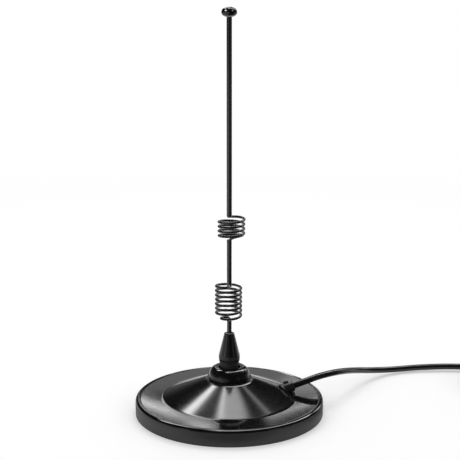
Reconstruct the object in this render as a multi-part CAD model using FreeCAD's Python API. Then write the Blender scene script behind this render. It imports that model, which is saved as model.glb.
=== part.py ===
import FreeCAD, Part
import math
import os

# Magnetic mount antenna: a round magnet base, an insulated stud, a whip with two coils and a coax lead.
# Millimetres and degrees. The origin is the centre of the underside, +Z runs up the whip.

Vec = FreeCAD.Vector
UP = Vec(0, 0, 1)

# Main sizes
overall_height = 189.9
base_radius = 44.8

# Base, from the floor up
boot_height = 6.5
boot_wall = 1.6
boot_lip = 1.4
pad_thickness = 0.6
cover_wall = 1.3
shoulder_height = 1.2
shoulder_width = 2.1
crest_width = 0.5
flange_step = 0.25
flange_rise = 0.35
flange_width = 11.2
cone_rise = 8.2
hub_radius = 11.5
hub_hole_radius = 4.6

# Magnet and its pole plate
magnet_thickness = 4.6
magnet_hole_radius = 26.0
magnet_clearance = 0.4

# Stud and what it clamps
stud_radius = 2.5
stud_collar_radius = 4.0
stud_collar_height = 1.2
stud_reach_up = 6.0
stud_reach_down = 1.2
nut_flats = 8.0
nut_height = 4.0
washer_thickness = 1.0
washer_width = 1.7
washer_slit = 0.8
tag_thickness = 0.5
tag_width = 3.0
tag_ring_width = 2.2
tag_tail = 4.2
tag_eye_radius = 0.7
tag_spread = 40.0
bush_flange_width = 2.4
bush_flange_height = 1.1
bush_clearance = 0.1

# Gasket and dome collar
gasket_thickness = 0.9
gasket_overhang = 0.1
dome_radius = 9.85
dome_foot_height = 0.6
dome_height = 5.5
dome_rim_radius = 6.45
dome_recess_radius = 5.2
dome_recess_depth = 2.6
dome_rim_round = 0.4

# Whip ferrule
ferrule_foot_radius = 4.2
ferrule_foot_top_radius = 4.7
ferrule_foot_height = 3.9
ferrule_groove = 0.5
ferrule_groove_depth = 0.35
ferrule_band_radius = 5.0
ferrule_band_height = 2.7
ferrule_cone_height = 10.9
ferrule_tip_radius = 2.45
ferrule_sink_depth = 0.8
ferrule_wire_depth = 6.0
thread_end_gap = 0.8

# Whip: one wire with two coils, wound right-handed
wire_radius = 0.55
wire_sides = 6
wire_bend = 1.0
arcs_per_turn = 4
coil_radius = 5.85
coil_pitch = 2.13
lower_stub = 6.0
lower_coil_turns = 6.5
lower_coil_offset = -0.35
lower_loop_radius = 3.8
lower_loop_rise = 1.3
middle_run = 20.5
upper_coil_turns = 3.5
upper_coil_offset = 1.0
upper_coil_tuck = 1.25
upper_bend = 1.5
upper_bend_heading = -40.0
top_turn_heading = 200.0
sleeve_radius_lower = 1.1
sleeve_radius_middle = 1.16
sleeve_radius_upper = 1.22
sleeve_fit = 0.02
knob_radius = 3.55
knob_height = 4.6
knob_edge_round = 1.9
knob_depth = 2.4

# Cable gland on the cone's flank
gland_azimuth = 9.0
gland_tilt = 18.0
gland_seat_tilt = 48.0
gland_rise = 3.2
gland_body_radius = 2.6
gland_body_length = 4.7
gland_flange_radius = 3.3
gland_flange_thickness = 0.7
gland_spigot_radius = 2.2
gland_spigot_length = 4.2
gland_rib_width = 1.3
gland_rib_height = 0.8
gland_rib_length = 2.4
gland_rib_end = 2.0
gland_fit = 0.05
boss_radius = 3.6
boss_length = 3.0

# Cable and its leads inside the base
cable_radius = 1.6
tail_length = 16.0
core_radius = 0.5
braid_radius = 0.6
lead_sag = 1.2
lead_sides = 6
lead_out = 6.0

# Route of the free cable's centre line: across and back from the gland's mouth, and height over the floor
cable_route = [
    (11.9, 3.7, 14.2),
    (19.3, 9.3, 14.1),
    (26.5, 19.7, 11.6),
    (33.9, 31.5, 7.9),
    (43.3, 42.1, 4.2),
    (55.3, 49.5, 2.1),
    (69.9, 53.1, 2.2),
    (85.9, 53.7, 2.5),
    (100.9, 52.7, 2.4),
    (113.9, 52.1, 2.6),
]
corner_share = 0.45

# Coil of the spare cable, tied, and the connector beside it
coil_mean_radius = 18.6
coil_width = 16.0
coil_height = 12.8
coil_corner = 2.4
coil_reach_in = 1.5
tie_thickness = 0.8
tie_width = 6.0
tie_angles = (75.0, 255.0)
connector_flats = 9.0
connector_flange = 4.0
connector_neck = 2.0
connector_neck_radius = 2.9
thread_radius = 4.0
thread_length = 8.0
thread_chamfer = 0.4
insulator_radius = 2.7
contact_radius = 0.9
contact_hole_radius = 0.45
contact_hole_depth = 4.0
crimp_length = 9.0
crimp_radius = 2.7
crimp_waist = 0.3
connector_boot_length = 8.0
connector_boot_radius = 2.4
connector_boot_gap = 22.0

# Heights worked out from the sizes above
crest_height = boot_height + shoulder_height
flange_height = crest_height - flange_step
cone_foot_height = flange_height + flange_rise
hub_height = cone_foot_height + cone_rise
hub_underside = hub_height - cover_wall
plate_top = flange_height - cover_wall
magnet_top = pad_thickness + magnet_thickness
skirt_radius = base_radius - boot_wall
skirt_inside = skirt_radius - cover_wall
flange_edge_radius = base_radius - shoulder_width
cone_foot_radius = flange_edge_radius - flange_width
earth_tag_bottom = hub_underside - tag_thickness
bush_bottom = earth_tag_bottom - bush_flange_height
centre_tag_bottom = bush_bottom - tag_thickness
washer_bottom = centre_tag_bottom - washer_thickness
nut_bottom = washer_bottom - nut_height
dome_foot = hub_height + gasket_thickness
dome_top = dome_foot + dome_height
recess_floor = dome_top - dome_recess_depth
ferrule_foot = recess_floor + stud_collar_height
ferrule_band = ferrule_foot + ferrule_foot_height + ferrule_groove
ferrule_cone = ferrule_band + ferrule_band_height
ferrule_top = ferrule_cone + ferrule_cone_height
wire_bottom = ferrule_top - ferrule_wire_depth
stud_top = ferrule_foot + stud_reach_up
bush_hole_radius = stud_radius + bush_clearance
bush_sleeve_radius = hub_hole_radius - bush_clearance

# Outside of the coil, centre line of its outermost turn, and how far along it the cable leaves the coil
coil_radius_outside = coil_mean_radius + coil_width / 2
turn_radius = coil_radius_outside - cable_radius
coil_edge = math.sqrt(coil_radius_outside ** 2 - turn_radius ** 2)

# Half of a right angle, for the middle of a quarter round, and a length taken as nothing
half_square = math.radians(45)
nothing = 1e-6


def turned(outline):
    """Solid of revolution about Z. An entry (r, z) is a line, (r, z, r, z) an arc by its first point."""
    edges = []
    last = outline[0]
    for entry in outline[1:] + outline[:1]:
        start = Vec(last[-2], 0, last[-1])
        end = Vec(entry[-2], 0, entry[-1])
        if len(entry) == 4:
            edges.append(Part.Arc(start, Vec(entry[0], 0, entry[1]), end).toShape())
        else:
            edges.append(Part.LineSegment(start, end).toShape())
        last = entry
    return Part.Face(Part.Wire(edges)).revolve(Vec(0, 0, 0), UP, 360)


def tube(outer, inner, bottom, top):
    return turned([(inner, bottom), (outer, bottom), (outer, top), (inner, top)])


def hexagon(flats, bottom, height):
    corner = flats / 2 / math.cos(math.radians(30))
    turns = [math.radians(60 * side) for side in range(7)]
    ring = [Vec(corner * math.cos(turn), corner * math.sin(turn), bottom) for turn in turns]
    return Part.Face(Part.makePolygon(ring)).extrude(UP * height)


def polar(radius, degrees, height):
    angle = math.radians(degrees)
    return Vec(radius * math.cos(angle), radius * math.sin(angle), height)


def along(shape, origin, direction):
    """Moves a shape built up the Z axis so that Z becomes the given direction."""
    placed = shape.copy()
    placed.Placement = FreeCAD.Placement(origin, FreeCAD.Rotation(UP, direction))
    return placed


def unit(vector):
    return vector * (1 / vector.Length)


# Paths of round bars


def arc_edge(start, tangent, end):
    """Arc that leaves start along tangent and reaches end, or a straight line where they are in line."""
    chord = end - start
    direction = unit(chord)
    side = tangent - direction * tangent.dot(direction)
    if side.Length < nothing:
        return Part.LineSegment(start, end).toShape()
    lean = math.acos(max(-1.0, min(1.0, tangent.dot(direction))))
    rise = chord.Length / 2 * math.tan(lean / 2)
    middle = (start + end) * 0.5 + unit(side) * rise
    return Part.Arc(start, middle, end).toShape()


def biarc(start, tangent_a, end, tangent_b):
    """Two arcs that join two points with the given directions, tangent where they meet."""
    span = end - start
    both = tangent_a + tangent_b
    turn = 2 * (1 - tangent_a.dot(tangent_b))
    if turn < 1e-9:
        reach = span.dot(span) / (4 * span.dot(tangent_b))
    else:
        reach = (math.sqrt(span.dot(both) ** 2 + turn * span.dot(span)) - span.dot(both)) / turn
    meet = (start + end + (tangent_a - tangent_b) * reach) * 0.5
    first = arc_edge(start, tangent_a, meet)
    tangent_meet = unit(first.tangentAt(first.LastParameter))
    return [first, arc_edge(meet, tangent_meet, end)]


def bar(edges, radius, sides=0):
    """Bar along a smooth chain of edges: round, or of as many sides as are asked for on that circle."""
    start = edges[0].valueAt(edges[0].FirstParameter)
    heading = edges[0].tangentAt(edges[0].FirstParameter)
    section = Part.Wire(Part.makeCircle(radius, start, heading))
    if sides:
        section = Part.makePolygon(section.discretize(sides + 1))
    return Part.Wire(edges).makePipeShell([section], True, True)


def rounded_route(points, name):
    """Straight runs joined by arcs as large as the runs allow. Prints the radii."""
    edges = []
    radii = []
    last = points[0]
    for before, corner, after in zip(points, points[1:], points[2:]):
        arriving = unit(corner - before)
        leaving = unit(after - corner)
        half_turn = math.acos(max(-1.0, min(1.0, arriving.dot(leaving)))) / 2
        reach = corner_share * min((corner - before).Length, (after - corner).Length)
        radii.append(reach / math.tan(half_turn))
        start = corner - arriving * reach
        edges.append(Part.LineSegment(last, start).toShape())
        edges.append(arc_edge(start, arriving, corner + leaving * reach))
        last = corner + leaving * reach
    edges.append(Part.LineSegment(last, points[-1]).toShape())
    print(name, "radii", [round(radius, 1) for radius in radii])
    return edges


# Base


def make_base_pad():
    return Part.makeCylinder(skirt_radius - boot_lip, pad_thickness)


def make_rubber_boot():
    return turned([
        (skirt_radius - boot_lip, 0),
        (base_radius, 0),
        (base_radius, boot_height),
        (skirt_radius, boot_height),
        (skirt_radius, pad_thickness),
        (skirt_radius - boot_lip, pad_thickness),
    ])


def cone_wall_points():
    """Inner corners of the cone's wall, set in by the wall's thickness square to the cone."""
    slope = math.atan2(cone_rise, cone_foot_radius - hub_radius)
    lean = cover_wall * math.tan(slope / 2)
    return (cone_foot_radius - lean, cone_foot_height - cover_wall), (hub_radius - lean, hub_underside)


def shoulder_outline():
    """Rounded shoulder over the boot, then the flange and the cone up to the hub."""
    round_width = shoulder_width - crest_width
    middle_r = base_radius - round_width * (1 - math.cos(half_square))
    middle_z = boot_height + shoulder_height * math.sin(half_square)
    return [
        (base_radius, boot_height),
        (middle_r, middle_z, base_radius - round_width, crest_height),
        (flange_edge_radius, flange_height),
        (cone_foot_radius, cone_foot_height),
        (hub_radius, hub_height),
    ]


def gland_axis():
    """Centre of the gland's outer face and the direction in which the cable leaves it."""
    exit_point = polar(cone_foot_radius, gland_azimuth, cone_foot_height + gland_rise)
    level = polar(math.cos(math.radians(gland_tilt)), gland_azimuth, 0)
    return exit_point, level + UP * math.sin(math.radians(gland_tilt))


def on_gland(shape, place):
    """Puts a shape built up the Z axis on the gland's axis, its base at a distance from the outer face."""
    exit_point, direction = gland_axis()
    return along(shape, exit_point + direction * place, direction)


def gland_seat():
    """Middle of the outer face of the gland's flange and the direction in which it faces."""
    exit_point, direction = gland_axis()
    level = polar(math.cos(math.radians(gland_seat_tilt)), gland_azimuth, 0)
    return exit_point - direction * gland_body_length, level + UP * math.sin(math.radians(gland_seat_tilt))


def on_seat(shape, place):
    """Puts a shape built up the Z axis square to the gland's flange, its base at a distance from that face."""
    seat, facing = gland_seat()
    return along(shape, seat + facing * place, facing)


def gland_inner_end():
    """How far inwards from the gland's outer face its spigot reaches."""
    return gland_body_length + gland_flange_thickness + gland_spigot_length


def make_base_cover():
    foot, hub = cone_wall_points()
    shell = turned(shoulder_outline() + [
        (hub_hole_radius, hub_height),
        (hub_hole_radius, hub_underside),
        hub,
        foot,
        (flange_edge_radius - cover_wall, plate_top),
        (skirt_inside, plate_top),
        (skirt_inside, pad_thickness),
        (skirt_radius, pad_thickness),
        (skirt_radius, boot_height),
    ])
    filled = turned(shoulder_outline() + [(0, hub_height), (0, plate_top), (base_radius, plate_top)])
    reach = gland_inner_end()
    cradle = on_gland(Part.makeCylinder(boss_radius, reach), -reach)
    collar = on_seat(Part.makeCylinder(boss_radius, boss_length), -gland_flange_thickness - boss_length)
    spigot_hole = Part.makeCylinder(gland_spigot_radius + gland_fit, reach + cover_wall)
    flange_room = Part.makeCylinder(gland_flange_radius + gland_fit, 2 * gland_body_length)
    lean = math.radians(gland_seat_tilt - gland_tilt)
    free_length = gland_body_length - gland_body_radius * math.tan(lean)
    body_room = Part.makeCylinder(gland_body_radius + gland_fit, free_length)
    cover = shell.fuse(cradle.common(filled)).fuse(collar.cut(below_plate()))
    cover = cover.cut(on_gland(spigot_hole, -reach - cover_wall))
    cover = cover.cut(on_seat(flange_room, -gland_flange_thickness))
    cover = cover.cut(on_gland(body_room, -free_length))
    return largest_solid(cover.removeSplitter())


def below_plate():
    return Part.makeCylinder(base_radius, plate_top)


def largest_solid(shape):
    return max(shape.Solids, key=lambda solid: solid.Volume)


def make_ring_magnet():
    return tube(skirt_radius - boot_lip - magnet_clearance, magnet_hole_radius, pad_thickness, magnet_top)


def make_magnet_plate():
    return tube(skirt_inside - magnet_clearance, magnet_hole_radius, magnet_top, plate_top)


# Stud, insulation and solder tags


def make_contact_stud():
    return turned([
        (0, nut_bottom - stud_reach_down),
        (stud_radius, nut_bottom - stud_reach_down),
        (stud_radius, recess_floor),
        (stud_collar_radius, recess_floor),
        (stud_collar_radius, ferrule_foot),
        (stud_radius, ferrule_foot),
        (stud_radius, stud_top),
        (0, stud_top),
    ])


def make_stud_nut():
    block = hexagon(nut_flats, nut_bottom, nut_height)
    return block.cut(Part.makeCylinder(stud_radius, nut_height, Vec(0, 0, nut_bottom)))


def make_lock_washer():
    inner = bush_hole_radius
    ring = tube(inner + washer_width, inner, washer_bottom, centre_tag_bottom)
    slit = Part.makeBox(inner + 2 * washer_width, washer_slit, washer_thickness)
    slit.translate(Vec(0, -washer_slit / 2, washer_bottom))
    return ring.cut(slit)


def make_tag(hole, ring, bottom, azimuth):
    """Ring terminal with a tail that ends in a soldering eye."""
    reach = ring + tag_tail
    tail = Part.makeBox(reach, tag_width, tag_thickness, Vec(0, -tag_width / 2, bottom))
    tail = tail.fuse(Part.makeCylinder(ring, tag_thickness, Vec(0, 0, bottom))).removeSplitter()
    tail = tail.cut(Part.makeCylinder(hole, tag_thickness, Vec(0, 0, bottom)))
    eye = Vec(reach - tag_width / 2, 0, bottom)
    tail = tail.cut(Part.makeCylinder(tag_eye_radius, tag_thickness, eye))
    tail.rotate(Vec(0, 0, 0), UP, azimuth)
    return tail


def centre_tag_ring():
    return bush_hole_radius + tag_ring_width


def earth_tag_ring():
    return hub_hole_radius + tag_ring_width


def make_centre_tag():
    azimuth = gland_azimuth + tag_spread
    return make_tag(bush_hole_radius, centre_tag_ring(), centre_tag_bottom, azimuth)


def make_earth_tag():
    azimuth = gland_azimuth - tag_spread
    return make_tag(hub_hole_radius, earth_tag_ring(), earth_tag_bottom, azimuth)


def make_insulator_bush():
    return turned([
        (bush_hole_radius, bush_bottom),
        (hub_hole_radius + bush_flange_width, bush_bottom),
        (hub_hole_radius + bush_flange_width, earth_tag_bottom),
        (bush_sleeve_radius, earth_tag_bottom),
        (bush_sleeve_radius, dome_foot),
        (bush_hole_radius, dome_foot),
    ])


def make_collar_gasket():
    return tube(hub_radius - gasket_overhang, hub_hole_radius, hub_height, dome_foot)


def make_dome_collar():
    side_top = dome_foot + dome_foot_height
    middle_r = dome_rim_radius + (dome_radius - dome_rim_radius) * math.cos(half_square)
    middle_z = side_top + (dome_top - side_top) * math.sin(half_square)
    lip_inset = dome_rim_round * (1 - math.cos(half_square))
    lip_r = dome_recess_radius + lip_inset
    return turned([
        (bush_hole_radius, dome_foot),
        (dome_radius, dome_foot),
        (dome_radius, side_top),
        (middle_r, middle_z, dome_rim_radius, dome_top),
        (dome_recess_radius + dome_rim_round, dome_top),
        (lip_r, dome_top - lip_inset, dome_recess_radius, dome_top - dome_rim_round),
        (dome_recess_radius, recess_floor),
        (bush_hole_radius, recess_floor),
    ])


# Whip


def make_whip_ferrule():
    foot_top = ferrule_foot + ferrule_foot_height
    groove_r = ferrule_foot_top_radius - ferrule_groove_depth
    sink_r = sleeve_radius_lower + ferrule_sink_depth
    return turned([
        (stud_radius, ferrule_foot),
        (ferrule_foot_radius, ferrule_foot),
        (ferrule_foot_top_radius, foot_top),
        (groove_r, foot_top),
        (groove_r, ferrule_band),
        (ferrule_band_radius, ferrule_band),
        (ferrule_band_radius, ferrule_cone),
        (ferrule_tip_radius, ferrule_top),
        (sink_r, ferrule_top),
        (sleeve_radius_lower + sleeve_fit, ferrule_top - ferrule_sink_depth),
        (sleeve_radius_lower + sleeve_fit, sleeve_lower_bottom()),
        (wire_radius, sleeve_lower_bottom()),
        (wire_radius, wire_bottom),
        (0, wire_bottom),
        (0, stud_top + thread_end_gap),
        (stud_radius, stud_top + thread_end_gap),
    ])


def sleeve_lower_bottom():
    return ferrule_top - ferrule_wire_depth / 2


def helix_stations(offset, bottom, turns, start_degrees):
    """Points and directions up a right-handed helix, one for every two arcs of the wire."""
    count = math.ceil(turns * arcs_per_turn / 2)
    slope = coil_pitch / (2 * math.pi * coil_radius)
    stations = []
    for step in range(count + 1):
        degrees = start_degrees + 360 * turns * step / count
        place = polar(coil_radius, degrees, bottom + coil_pitch * turns * step / count)
        heading = unit(polar(1, degrees + 90, slope))
        stations.append((place + Vec(offset, 0, 0), heading))
    return stations


def whip_heights():
    """Heights along the whip: the ends of the straight runs and the feet of the coils."""
    stub_top = ferrule_top + lower_stub
    lower_coil = stub_top + wire_bend + lower_loop_rise + coil_pitch / 4
    middle_bottom = lower_coil + coil_pitch * lower_coil_turns + wire_bend
    middle_top = middle_bottom + middle_run
    upper_coil = middle_top + upper_bend + coil_pitch * 3 / 4
    upper_bottom = upper_coil + coil_pitch * (upper_coil_turns + 1 / 4) + wire_bend
    top = overall_height - knob_height + knob_dip()
    return stub_top, lower_coil, middle_bottom, middle_top, upper_coil, upper_bottom, top


def radiator_stations():
    """Points and directions of the whole wire, from its end in the ferrule to its end in the knob."""
    stub_top, lower_coil, middle_bottom, middle_top, upper_coil, upper_bottom, top = whip_heights()
    back = Vec(0, 1, 0)
    front = Vec(0, -1, 0)
    loop_height = stub_top + wire_bend
    stations = [(Vec(0, 0, wire_bottom), UP), (Vec(0, 0, stub_top), UP)]
    stations.append((Vec(0, wire_bend, loop_height), back))
    stations.append((Vec(-lower_loop_radius, 0, loop_height + lower_loop_rise / 3), front))
    stations += helix_stations(lower_coil_offset, lower_coil, lower_coil_turns, 0)
    stations.append((Vec(0, -wire_bend, middle_bottom - wire_bend), back))
    stations += [(Vec(0, 0, middle_bottom), UP), (Vec(0, 0, middle_top), UP)]
    bend = polar(upper_bend, upper_bend_heading, middle_top + upper_bend)
    stations.append((bend, polar(1, upper_bend_heading, 0)))
    tuck_x = upper_coil_offset + coil_radius - upper_coil_tuck
    stations.append((Vec(tuck_x, 0, upper_coil - coil_pitch / 2), back))
    stations += helix_stations(upper_coil_offset, upper_coil, upper_coil_turns, 180)
    inward = polar(1, top_turn_heading, 0)
    stations.append((UP * (upper_bottom - wire_bend) - inward * wire_bend, inward))
    stations += [(Vec(0, 0, upper_bottom), UP), (Vec(0, 0, top + knob_depth), UP)]
    return stations


def make_radiator_wire():
    stations = radiator_stations()
    edges = []
    for (start, leaving), (end, arriving) in zip(stations, stations[1:]):
        across = (end - start) - leaving * (end - start).dot(leaving)
        if across.Length < nothing:
            edges.append(Part.LineSegment(start, end).toShape())
        else:
            edges += biarc(start, leaving, end, arriving)
    return bar(edges, wire_radius, wire_sides)


def make_sleeve(radius, bottom, top):
    return tube(radius, wire_radius + sleeve_fit, bottom, top)


def knob_crown():
    """Radius of the knob's flat arcs, which run into its round edge."""
    half = knob_height / 2
    edge_centre = knob_radius - knob_edge_round
    return (edge_centre ** 2 + half ** 2 - knob_edge_round ** 2) / (2 * (half - knob_edge_round))


def knob_dip():
    """Height of the knob's oval that is cut off flat for the upper sleeve to stand against."""
    return knob_crown() - math.sqrt(knob_crown() ** 2 - sleeve_radius_upper ** 2)


def make_tip_knob():
    """Oval of two flat arcs and a round edge, turned about the whip."""
    flat = whip_heights()[-1]
    half = knob_height / 2
    middle = overall_height - half
    crown = knob_crown()
    meet = math.atan2(knob_radius - knob_edge_round, crown - half)
    flat_turn = math.asin(sleeve_radius_upper / crown)

    def on_crown(turn, side):
        return crown * math.sin(turn), middle + side * (crown * math.cos(turn) - crown + half)

    return turned([
        (wire_radius, flat),
        (sleeve_radius_upper, flat),
        on_crown((flat_turn + meet) / 2, -1) + on_crown(meet, -1),
        (knob_radius, middle) + on_crown(meet, 1),
        on_crown(meet / 2, 1) + (0, overall_height),
        (0, flat + knob_depth),
        (wire_radius, flat + knob_depth),
    ])


# Gland and the cable's leads inside the base


def make_cable_gland():
    reach = gland_inner_end()
    spigot = on_gland(Part.makeCylinder(gland_spigot_radius, reach), -reach)
    body = on_gland(Part.makeCylinder(gland_body_radius, reach), -reach)
    rib_z = gland_body_radius + gland_rib_height
    rib = Part.makeBox(rib_z, gland_rib_width, gland_rib_length, Vec(-rib_z, -gland_rib_width / 2, 0))
    body = body.fuse(on_gland(rib, -gland_rib_end - gland_rib_length))
    body = body.cut(on_seat(Part.makeCylinder(2 * reach, reach), -reach))
    flange = on_seat(Part.makeCylinder(gland_flange_radius, gland_flange_thickness), -gland_flange_thickness)
    gland = body.fuse(spigot).fuse(flange).cut(on_gland(Part.makeCylinder(cable_radius, reach), -reach))
    return largest_solid(gland.removeSplitter())


def make_cable_tail():
    return on_gland(Part.makeCylinder(cable_radius, tail_length), -tail_length)


def lead_points(side, ring, tag_bottom, azimuth):
    """Route of a lead from the cable's stripped end up into the eye of its tag."""
    exit_point, direction = gland_axis()
    across = unit(UP.cross(direction))
    start = exit_point - direction * tail_length + across * side
    out = start - direction * (2 * cable_radius)
    end_radius = ring + tag_tail - tag_width / 2
    foot = polar(end_radius, azimuth, out.z - lead_sag)
    knee = (out + foot) * 0.5 - UP * lead_sag
    return [start, out, knee, foot + UP * lead_sag, polar(end_radius, azimuth, tag_bottom + tag_thickness)]


def make_core_lead():
    azimuth = gland_azimuth + tag_spread
    points = lead_points(cable_radius / 2, centre_tag_ring(), centre_tag_bottom, azimuth)
    return bar(rounded_route(points, "core lead"), core_radius, lead_sides)


def make_braid_lead():
    azimuth = gland_azimuth - tag_spread
    points = lead_points(-cable_radius / 2, earth_tag_ring(), earth_tag_bottom, azimuth)
    return bar(rounded_route(points, "braid lead"), braid_radius, lead_sides)


# Free cable, coil and connector


def route_points():
    """Corners of the free cable's route, from the gland's mouth into the edge of the coil."""
    mouth, direction = gland_axis()
    points = [mouth, mouth + direction * lead_out]
    for across, back, height in cable_route:
        points.append(Vec(mouth.x + across, mouth.y + back, height))
    return points


def coil_centre():
    """Middle of the coil on the floor: the route's end lies on the outermost turn, just inside the edge."""
    end = route_points()[-1]
    return Vec(end.x + coil_edge - coil_reach_in, end.y - turn_radius, 0)


def coil_outline(grow):
    """Section of the coil with cut corners, grown by a distance, in the plane of the coil's axis."""
    side = coil_width / 2 + grow
    top = coil_height / 2 + grow
    middle = coil_centre() + Vec(coil_mean_radius, 0, tie_thickness + coil_height / 2)
    outline = [(side, top - coil_corner), (side - coil_corner, top)]
    outline += [(coil_corner - side, top), (-side, top - coil_corner)]
    outline += [(-across, -up) for across, up in outline]
    points = [middle + Vec(across, 0, up) for across, up in outline]
    return Part.Face(Part.makePolygon(points + points[:1]))


def make_cable_coil():
    return coil_outline(0).revolve(coil_centre(), UP, 360).Solids[0]


def make_coil_ties(coil):
    sweep = math.degrees(tie_width / coil_mean_radius)
    ties = []
    for angle in tie_angles:
        tie = coil_outline(tie_thickness).revolve(coil_centre(), UP, sweep)
        tie.rotate(coil_centre(), UP, angle - sweep / 2)
        ties.append(tie.cut(coil).Solids[0])
    return Part.makeCompound(ties)


def connector_axis():
    """Where the cable leaves the coil for the connector, at the height at which the connector lies."""
    return coil_centre() + Vec(turn_radius, 0, connector_flats / 2), Vec(0, -1, 0)


def on_connector(shape, place):
    origin, direction = connector_axis()
    return along(shape, origin + direction * place, direction)


def boot_start():
    return coil_edge + connector_boot_gap


def crimp_start():
    return boot_start() + connector_boot_length


def body_start():
    return crimp_start() + crimp_length


def make_cable_run(coil):
    edges = rounded_route(route_points(), "cable")
    run = bar(edges, cable_radius)
    expected = math.pi * cable_radius ** 2 * sum(edge.Length for edge in edges)
    print("cable volume", round(run.Volume, 1), "section times length", round(expected, 1))
    end = on_connector(Part.makeCylinder(cable_radius, body_start()), 0)
    pieces = [run.cut(coil), end.cut(coil)]
    return Part.makeCompound([largest_solid(piece) for piece in pieces])


def make_connector_boot():
    return on_connector(tube(connector_boot_radius, cable_radius, 0, connector_boot_length), boot_start())


def make_crimp_ferrule():
    waist = crimp_radius - crimp_waist
    third = crimp_length / 3
    return on_connector(turned([
        (cable_radius, 0),
        (crimp_radius, 0),
        (crimp_radius, third / 2),
        (waist, third),
        (waist, crimp_length - third),
        (crimp_radius, crimp_length - third / 2),
        (crimp_radius, crimp_length),
        (cable_radius, crimp_length),
    ]), crimp_start())


def make_connector_body():
    flange_top = connector_neck + connector_flange
    front = flange_top + thread_length
    neck = Part.makeCylinder(connector_neck_radius, connector_neck)
    flange = hexagon(connector_flats, connector_neck, connector_flange)
    thread = turned([
        (0, flange_top),
        (thread_radius, flange_top),
        (thread_radius, front - thread_chamfer),
        (thread_radius - thread_chamfer, front),
        (0, front),
    ])
    body = neck.fuse(flange).fuse(thread).removeSplitter()
    bore = Part.makeCylinder(insulator_radius, front - connector_neck, Vec(0, 0, connector_neck))
    return on_connector(body.cut(bore), body_start())


def make_connector_insulator():
    length = connector_flange + thread_length
    return on_connector(tube(insulator_radius, contact_radius, 0, length), body_start() + connector_neck)


def make_connector_contact():
    length = connector_flange + thread_length
    pin = turned([
        (0, 0),
        (contact_radius, 0),
        (contact_radius, length),
        (contact_hole_radius, length),
        (contact_hole_radius, length - contact_hole_depth),
        (0, length - contact_hole_depth),
    ])
    return on_connector(pin, body_start() + connector_neck)


def make_all():
    stub_top, _, middle_bottom, middle_top, _, upper_bottom, whip_top = whip_heights()
    coil = make_cable_coil()
    return {
        "base_pad": make_base_pad(),
        "rubber_boot": make_rubber_boot(),
        "base_cover": make_base_cover(),
        "ring_magnet": make_ring_magnet(),
        "magnet_plate": make_magnet_plate(),
        "contact_stud": make_contact_stud(),
        "stud_nut": make_stud_nut(),
        "lock_washer": make_lock_washer(),
        "centre_tag": make_centre_tag(),
        "earth_tag": make_earth_tag(),
        "insulator_bush": make_insulator_bush(),
        "collar_gasket": make_collar_gasket(),
        "dome_collar": make_dome_collar(),
        "whip_ferrule": make_whip_ferrule(),
        "radiator_wire": make_radiator_wire(),
        "lower_sleeve": make_sleeve(sleeve_radius_lower, sleeve_lower_bottom(), stub_top),
        "middle_sleeve": make_sleeve(sleeve_radius_middle, middle_bottom, middle_top),
        "upper_sleeve": make_sleeve(sleeve_radius_upper, upper_bottom, whip_top),
        "tip_knob": make_tip_knob(),
        "cable_gland": make_cable_gland(),
        "cable_tail": make_cable_tail(),
        "core_lead": make_core_lead(),
        "braid_lead": make_braid_lead(),
        "cable_run": make_cable_run(coil),
        "cable_coil": coil,
        "coil_ties": make_coil_ties(coil),
        "connector_boot": make_connector_boot(),
        "crimp_ferrule": make_crimp_ferrule(),
        "connector_body": make_connector_body(),
        "connector_insulator": make_connector_insulator(),
        "connector_contact": make_connector_contact(),
    }


os.makedirs("parts", exist_ok=True)
for node, shape in make_all().items():
    shape.exportStep("parts/" + node + ".step")
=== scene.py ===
import math

import bpy
from bpy.props import FloatProperty, FloatVectorProperty, PointerProperty
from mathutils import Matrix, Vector


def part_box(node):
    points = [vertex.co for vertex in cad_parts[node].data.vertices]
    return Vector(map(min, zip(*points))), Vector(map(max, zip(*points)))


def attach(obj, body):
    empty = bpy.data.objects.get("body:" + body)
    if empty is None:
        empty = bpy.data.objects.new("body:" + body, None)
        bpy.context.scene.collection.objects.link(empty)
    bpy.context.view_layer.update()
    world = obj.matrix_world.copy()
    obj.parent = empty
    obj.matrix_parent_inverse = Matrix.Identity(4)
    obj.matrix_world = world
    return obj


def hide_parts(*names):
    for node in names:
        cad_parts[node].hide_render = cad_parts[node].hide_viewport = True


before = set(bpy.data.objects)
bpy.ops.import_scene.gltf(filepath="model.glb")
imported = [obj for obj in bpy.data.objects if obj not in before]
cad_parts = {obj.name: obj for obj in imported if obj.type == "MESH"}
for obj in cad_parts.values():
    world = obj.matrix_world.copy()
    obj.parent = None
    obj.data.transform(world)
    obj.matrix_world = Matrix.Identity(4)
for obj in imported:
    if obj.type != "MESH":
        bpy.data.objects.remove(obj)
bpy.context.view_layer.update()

bl_info = {
    "name": "Magnetic mount antenna",
    "version": (1, 0, 0),
    "blender": (4, 5, 0),
    "location": "3D View > Sidebar > Antenna",
    "description": "Dresses a magnetic mount whip antenna and its coax lead on a fixed frame",
    "category": "Add Mesh",
}

BODY = "root"
UP = Vector((0, 0, 1))
FULL_TURN = 2 * math.pi


def mm(value):
    return value / 1000


def in_mm(*values):
    return Vector([mm(value) for value in values])


# Properties


def size(name, description, millimetres):
    return FloatProperty(
        name=name, description=description, default=mm(millimetres), unit="LENGTH", subtype="DISTANCE",
        precision=5,
    )


def angle(name, description, degrees):
    return FloatProperty(name=name, description=description, default=math.radians(degrees), subtype="ANGLE")


def level(name, description, value):
    return FloatProperty(name=name, description=description, default=value, min=0)


def colour(name, description, value):
    return FloatVectorProperty(
        name=name, description=description, default=value, size=3, subtype="COLOR", min=0, max=1
    )


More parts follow.
